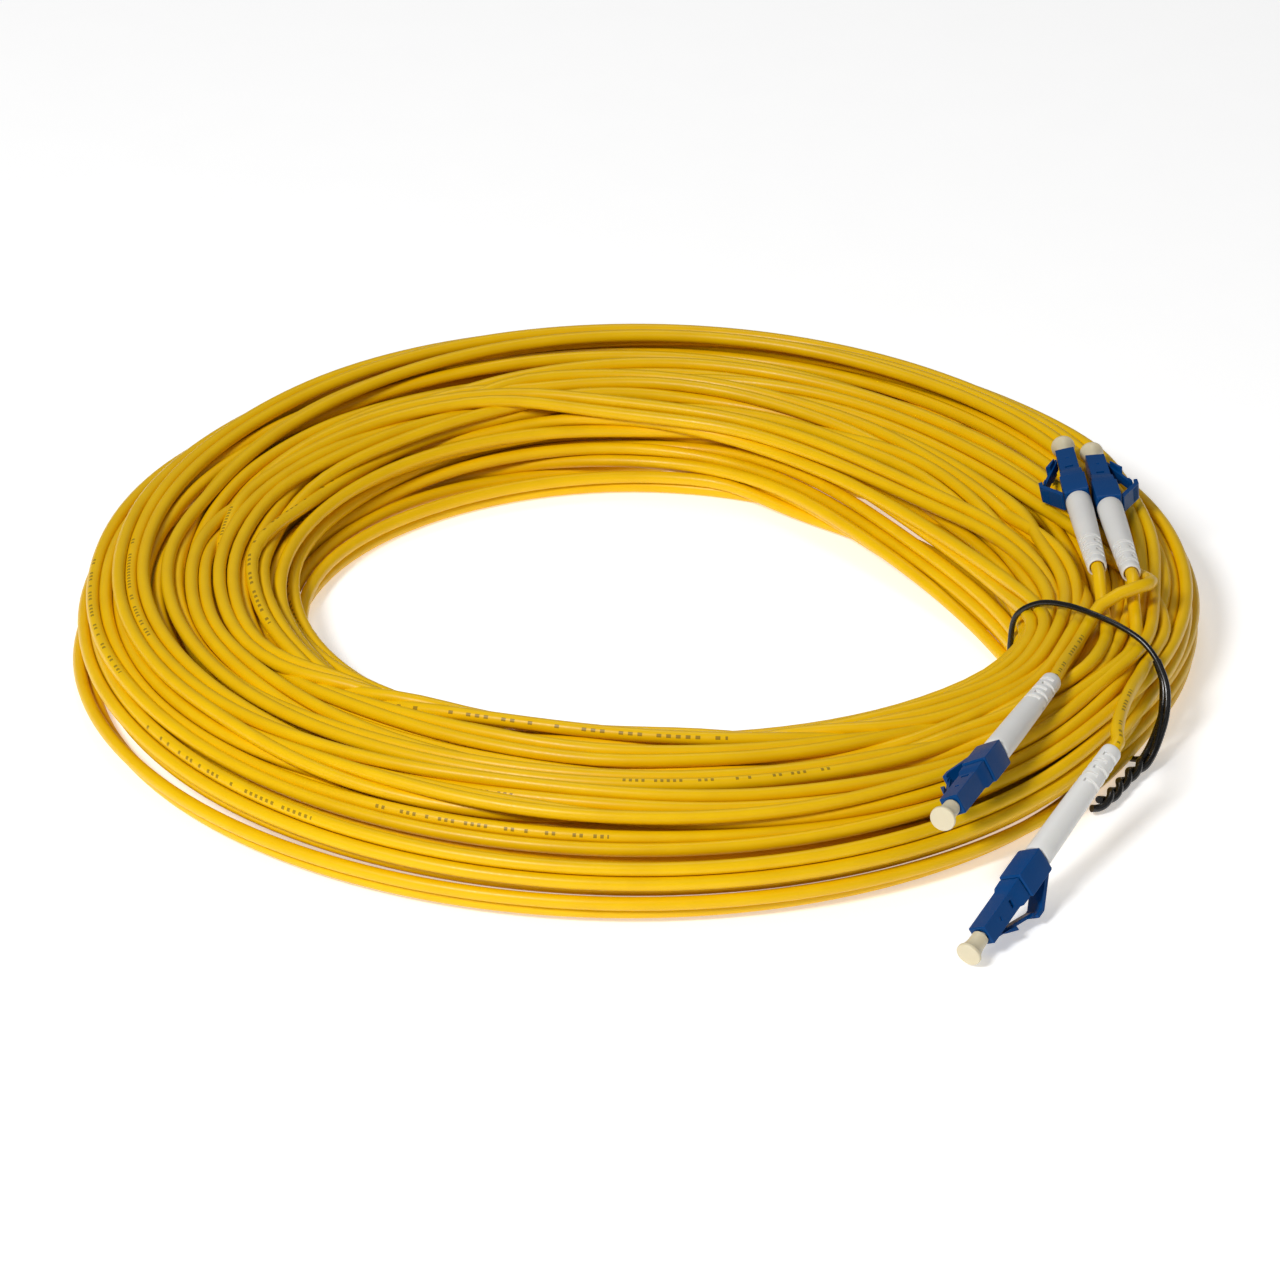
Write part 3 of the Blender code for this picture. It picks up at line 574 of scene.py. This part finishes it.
boot_white = plastic("boot_white", (0.84, 0.83, 0.80), (0.76, 0.75, 0.72), (1800.0, 0.16), (0.38, 0.55), 0.08)
for end in ENDS:
    rings = [(BOOT_FRONT, 2.2, 0.0), (BOOT_FRONT, 2.75, 0.0),
             (BOOT_FRONT - 0.1, 2.95, 0.0), (BOOT_FRONT - 0.4, 3.05, 0.0)]
    stops = [-28.0, -32.0, -36.0, -40.0, -44.0, -47.5]
    for row in SLOT_ROWS:
        stops += [row + SLOT_HALF_LENGTH, row - SLOT_HALF_LENGTH]
    rings += [(x, outer_radius(x), 0.0) for x in stops + [-60.2, -61.2]]
    rings += [(-61.55, 2.14, 0.0), (-61.7, 1.95, 0.0), (-61.6, 1.75, 0.0), (-61.2, 1.65, 0.0),
              (BOOT_STEP, 1.65, 0.0), (BOOT_STEP, 2.2, 0.0)]
    boot = sleeve(rings)
    for number, row in enumerate(SLOT_ROWS):
        sink(boot, lambda middle: in_slot(middle, row, 90.0 * (number % 2)), SLOT_DEPTH,
             lambda point: -Vector((0.0, point.y, point.z)).normalized())
    finished(f"{end}_boot_moulding", boot, end, boot_white, "cord", "boot_white", f"{end}_boot", edge=0.09)


# The housings: two blue mouldings that snap together over the ferrule, with a narrow groove between
# them. The plug is square, with a wider collar at its rear and a window and a gate mark on each side.

WINDOW_DEPTH = 1.1
GATE_DEPTH = 0.22

housing_blue = plastic("housing_blue", (0.0, 0.060, 0.23), (0.0, 0.046, 0.18), (2600.0, 0.14), (0.30, 0.44))
housing_blue.node_tree.nodes["Principled BSDF"].inputs["Specular IOR Level"].default_value = 0.15
for end in ENDS:
    plug = sleeve([(0.0, 1.65, 0.0), (0.0, 2.06, 0.95), (-0.2, 2.26, 0.97), (-5.2, 2.26, 0.97), (-5.8, 2.26, 0.97),
                   (-9.85, 2.26, 0.97), (-10.75, 2.26, 0.97), (-12.0, 2.26, 0.97), (-12.9, 2.60, 0.97),
                   (-15.6, 2.65, 0.97), (-15.6, 1.65, 0.0)])
    for side in (1.0, -1.0):
        sink(plug, lambda middle: abs(middle.x + 10.3) < 0.3 and middle.y * side > 2.2 and abs(middle.z) < 0.95,
             WINDOW_DEPTH, lambda point: Vector((0.0, -side, 0.0)))
        sink(plug, lambda middle: abs(middle.x + 5.5) < 0.2 and middle.y * side > 2.2 and abs(middle.z) < 0.5,
             GATE_DEPTH, lambda point: Vector((0.0, -side, 0.0)))
    finished(f"{end}_plug_housing", plug, end, housing_blue, "cord", "housing_blue", f"{end}_plug_body", edge=0.10)

    rear = sleeve([(-15.9, 2.3, 0.0), (-15.9, 2.72, 0.96), (-16.25, 3.0, 0.95), (-20.0, 3.0, 0.95),
                   (-24.7, 3.0, 0.94), (-25.2, 2.88, 0.93), (-25.4, 2.70, 0.92), (-25.4, 2.3, 0.0)])
    finished(f"{end}_rear_housing", rear, end, housing_blue, "cord", "housing_blue", f"{end}_rear_body", edge=0.14)


# The latch and the trigger: blue plastic springs moulded with the housings. The latch grows from the
# plug's front edge and carries two wedge lugs. The trigger leans forward over its end and presses it.

LATCH_SIDE = ((-2.6, 2.38), (-2.6, 2.758), (-14.45, 6.90), (-14.85, 6.98), (-15.2, 6.80), (-15.2, 6.36), (-4.1, 2.38))
LUG_SIDE = ((-4.4, 2.92), (-4.4, 3.24), (-8.2, 5.46), (-8.2, 4.36))
TRIGGER_SIDE = ((-24.4, 3.12), (-24.4, 3.62), (-17.5, 7.98), (-15.1, 7.98), (-15.1, 7.08), (-17.0, 6.98), (-22.9, 3.12))


def slab(mesh, side, width):
    """A plate with a given side view, as wide as given and centred across."""
    corners = [mesh.verts.new((x, -width / 2, z)) for x, z in side]
    face = mesh.faces.new(corners)
    made = bmesh.ops.extrude_face_region(mesh, geom=[face])["geom"]
    bmesh.ops.translate(mesh, vec=(0.0, width, 0.0), verts=[v for v in made if isinstance(v, bmesh.types.BMVert)])


for end in ENDS:
    latch = bmesh.new()
    slab(latch, LATCH_SIDE, 2.2)
    slab(latch, LUG_SIDE, 4.4)
    slab(latch, ((-13.0, 6.10), (-13.0, 6.36), (-14.5, 6.88), (-15.15, 6.80), (-15.15, 6.45)), 3.0)
    finished(f"{end}_latch_spring", latch, end, housing_blue, f"{end}_latch_arm", "housing_blue",
             f"{end}_latch", edge=0.10)

    trigger = bmesh.new()
    slab(trigger, TRIGGER_SIDE, 4.0)
    for number in range(5):
        along = 0.10 + 0.055 * number
        x, z = -17.5 - 6.9 * along, 7.98 - 4.36 * along
        slab(trigger, ((x + 0.10, z - 0.20), (x - 0.06, z + 0.14), (x - 0.24, z + 0.02), (x - 0.30, z - 0.45)), 3.3)
    finished(f"{end}_trigger_plate", trigger, end, housing_blue, f"{end}_trigger_lever", "housing_blue",
             f"{end}_trigger", edge=0.09)


# The dust caps: soft ivory caps pushed over the ferrules. The barrel flares like a trumpet into a thin
# disc to pull on, and a small bore holds the ferrule.

cap_ivory = plastic("cap_ivory", (0.74, 0.66, 0.46), (0.66, 0.58, 0.40), (1600.0, 0.12), (0.34, 0.50), 0.10)
CAP_RINGS = ((5.0, 0.675), (0.5, 0.675), (0.3, 0.80), (0.3, 1.72), (0.42, 1.86), (2.2, 1.90), (3.4, 2.02), (4.2, 2.22),
             (4.8, 2.48), (5.2, 2.70), (5.32, 2.80), (5.82, 2.80), (6.0, 2.64), (5.97, 2.2), (5.94, 0.5))
for end in ENDS:
    cap = sleeve([(x, radius, 0.0) for x, radius in CAP_RINGS], closed_round=False)
    bmesh.ops.holes_fill(cap, edges=[edge for edge in cap.edges if edge.is_boundary], sides=SIDES)
    finished(f"{end}_cap_moulding", cap, end, cap_ivory, f"{end}_cap", "cap_ivory", f"{end}_dust_cap", edge=0.0)


# The tie: a thin steel wire in a glossy black coat, bent round the bundle. Its two ends run down the
# outside side by side and are twisted together a few times by hand.

TIE_TAILS = ((114.6, -47.0, 18.6), (116.4, -50.4, 14.0), (116.0, -54.8, 9.0), (113.6, -60.0, 4.4), (111.4, -64.4, 2.6))
TAIL_RADIUS = 0.86 * MM
TWIST_TURNS = 2.4
TWIST_AXIS = ((111.4, -64.4, 2.6), (108.2, -69.0, 2.3), (105.4, -74.0, 2.2), (102.6, -79.6, 2.3), (98.8, -84.6, 2.4))
tie_black = plastic("tie_black", (0.003, 0.003, 0.003), (0.006, 0.006, 0.006), (900.0, 0.25), (0.20, 0.34))
hole_side = [(83.8, -21.6, 9.5), (84.9, -21.9, 16.6), (89.6, -25.1, 21.4)]
under = [(114.9, -57.0, 7.6), (112.6, -62.0, 3.2), (108.0, -60.4, 1.2)]
hole_foot = [(92.0, -34.0, 0.76), (86.4, -25.3, 1.7), (84.2, -22.1, 4.6)]
loop = [*hole_side, *TIE_LOOP[3:9], *under, *TIE_LOOP[12:14], *hole_foot]
loop = spline(np.array(loop) * MM, 0.8 * MM, closed=True)
loop += np.array((0.0, COIL_Y, 0.0))
piece = round_tube("tie_loop", loop, TIE_DIAMETER / 2, closed=True)
piece.data.materials.append(tie_black)
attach(piece, "cord")
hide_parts("wire_tie")

tail = spline(np.array(TIE_TAILS) * MM, 0.6 * MM)
axis = spline(np.array(TWIST_AXIS) * MM, 0.35 * MM)
for which, start_turn in (("first", 0.0), ("second", math.pi)):
    heading = np.gradient(axis, axis=0)
    heading /= np.linalg.norm(heading, axis=1, keepdims=True)
    level_side = np.cross(heading, (0.0, 0.0, 1.0))
    level_side /= np.linalg.norm(level_side, axis=1, keepdims=True)
    upper = np.cross(level_side, heading)
    turned = start_turn + np.linspace(0.0, TWIST_TURNS * math.tau, len(axis))[:, None]
    strand = axis + TAIL_RADIUS * (np.cos(turned) * level_side + np.sin(turned) * upper)
    lead = tail[:-3] + (strand[0] - axis[0]) * np.linspace(0.15, 1.0, len(tail) - 3)[:, None]
    strand = strand[: int(len(strand) * (0.90 if which == "first" else 1.0))]
    path = np.vstack((lead, strand)) + np.array((0.0, COIL_Y, 0.0))
    for _ in range(6):
        path[1:-1] = (path[:-2] + 2 * path[1:-1] + path[2:]) / 4
    path[:, 2] = np.maximum(path[:, 2], TAIL_RADIUS + 0.05 * MM)
    piece = round_tube(f"tie_twist_{which}", path, TAIL_RADIUS)
    piece.data.materials.append(tie_black)
    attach(piece, "cord")
    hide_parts("wire_tie_twist")


# The parts inside each connector stay as the CAD has them: the white ceramic ferrule in its nickel
# flange with its spring, the backpost, crimp sleeve and aramid yarn, and the buffered fibre.

def brushed_surface():
    """Plated or drawn metal, brushed finely: an uneven tone and gloss, and shallow marks."""
    group, given, made = new_group(
        "brushed_surface",
        (("Color", "NodeSocketColor", (0.7, 0.7, 0.7, 1.0)), ("Shade Color", "NodeSocketColor", (0.6, 0.6, 0.6, 1.0)),
         ("Mark Scale", "NodeSocketFloat", 2000.0),
         ("Gloss Low", "NodeSocketFloat", 0.2), ("Gloss High", "NodeSocketFloat", 0.35)),
        (("Color", "NodeSocketColor"), ("Roughness", "NodeSocketFloat"), ("Normal", "NodeSocketVector")))
    nodes, link = group.nodes, group.links.new
    where = nodes.new("ShaderNodeTexCoord")
    marks = nodes.new("ShaderNodeTexNoise")
    marks.inputs["Detail"].default_value = 5.0
    link(where.outputs["Object"], marks.inputs["Vector"])
    link(given.outputs["Mark Scale"], marks.inputs["Scale"])
    tone = nodes.new("ShaderNodeMix")
    tone.data_type = "RGBA"
    link(marks.outputs["Fac"], tone.inputs["Factor"])
    link(given.outputs["Shade Color"], tone.inputs["A"])
    link(given.outputs["Color"], tone.inputs["B"])
    gloss = nodes.new("ShaderNodeMapRange")
    link(marks.outputs["Fac"], gloss.inputs["Value"])
    link(given.outputs["Gloss Low"], gloss.inputs["To Min"])
    link(given.outputs["Gloss High"], gloss.inputs["To Max"])
    bump = nodes.new("ShaderNodeBump")
    bump.inputs["Strength"].default_value = 0.15
    bump.inputs["Distance"].default_value = 0.00005
    link(marks.outputs["Fac"], bump.inputs["Height"])
    link(tone.outputs["Result"], made.inputs["Color"])
    link(gloss.outputs["Result"], made.inputs["Roughness"])
    link(bump.outputs["Normal"], made.inputs["Normal"])
    return group


brushed = brushed_surface()


def metal(name, color, gloss, mark_scale):
    """A metal with the brushed skin, a little darker in its marks."""
    material = bpy.data.materials.new(name)
    material.use_nodes = True
    nodes, link = material.node_tree.nodes, material.node_tree.links.new
    shader = nodes["Principled BSDF"]
    shader.inputs["Metallic"].default_value = 1.0
    skin = nodes.new("ShaderNodeGroup")
    skin.node_tree = brushed
    skin.inputs["Color"].default_value = (*color, 1.0)
    skin.inputs["Shade Color"].default_value = (*[value * 0.85 for value in color], 1.0)
    skin.inputs["Mark Scale"].default_value = mark_scale
    skin.inputs["Gloss Low"].default_value, skin.inputs["Gloss High"].default_value = gloss
    link(skin.outputs["Color"], shader.inputs["Base Color"])
    link(skin.outputs["Roughness"], shader.inputs["Roughness"])
    link(skin.outputs["Normal"], shader.inputs["Normal"])
    return material


inside = {
    "ferrule": plastic("ceramic_white", (0.90, 0.89, 0.86), (0.86, 0.85, 0.82), (4000.0, 0.03), (0.10, 0.18)),
    "ferrule_flange": metal("nickel", (0.72, 0.70, 0.66), (0.22, 0.36), 1800.0),
    "spring": metal("spring_steel", (0.55, 0.56, 0.58), (0.20, 0.34), 2400.0),
    "aramid_yarn": plastic("aramid_gold", (0.80, 0.60, 0.16), (0.66, 0.47, 0.10), (5000.0, 0.6), (0.45, 0.65)),
    "buffered_fiber": plastic("buffer_white", (0.84, 0.83, 0.80), (0.78, 0.77, 0.74), (2600.0, 0.05), (0.30, 0.42)),
}
inside["backpost"] = inside["crimp_sleeve"] = inside["ferrule_flange"]
for end in ENDS:
    for part, material in inside.items():
        node = bpy.data.objects[f"{end}_{part}"]
        if node.material_slots:
            node.material_slots[0].material = material
        else:
            node.data.materials.append(material)


# A plain pale floor and a soft studio light, which are not part of the object. The floor glows faintly,
# so that it stays white all over.

floor_shape = bmesh.new()
bmesh.ops.create_grid(floor_shape, x_segments=1, y_segments=1, size=3.0)
bmesh.ops.translate(floor_shape, vec=(0.0, 0.0, -0.0002), verts=floor_shape.verts)
floor_mesh = bpy.data.meshes.new("floor")
floor_shape.to_mesh(floor_mesh)
floor_shape.free()
floor = bpy.data.objects.new("floor", floor_mesh)
bpy.context.scene.collection.objects.link(floor)
floor.data.materials.append(plastic("floor_pale", (0.93, 0.93, 0.93), (0.92, 0.92, 0.92), (60.0, 0.02), (0.6, 0.7)))
floor_glow = floor.data.materials[0].node_tree.nodes["Principled BSDF"]
floor_glow.inputs["Emission Color"].default_value = (1.0, 1.0, 1.0, 1.0)
floor_glow.inputs["Emission Strength"].default_value = 0.40


def soft_light(name, location, size, power):
    lamp = bpy.data.lights.new(name, "AREA")
    lamp.shape = "DISK"
    lamp.size = size
    lamp.energy = power
    holder = bpy.data.objects.new(name, lamp)
    holder.location = location
    holder.rotation_euler = (-Vector(location)).to_track_quat("-Z", "Y").to_euler()
    bpy.context.scene.collection.objects.link(holder)


soft_light("key", (-0.62, -0.95, 1.05), 0.38, 17.0)
soft_light("fill", (1.0, -0.9, 1.0), 1.2, 1.4)
soft_light("top", (0.0, 0.75, 1.4), 0.6, 3.0)

surround = bpy.data.worlds.new("surround")
surround.use_nodes = True
surround.node_tree.nodes["Background"].inputs["Color"].default_value = (1.0, 1.0, 1.0, 1.0)
surround.node_tree.nodes["Background"].inputs["Strength"].default_value = 0.16
bpy.context.scene.world = surround
bpy.context.scene.view_settings.view_transform = "Standard"
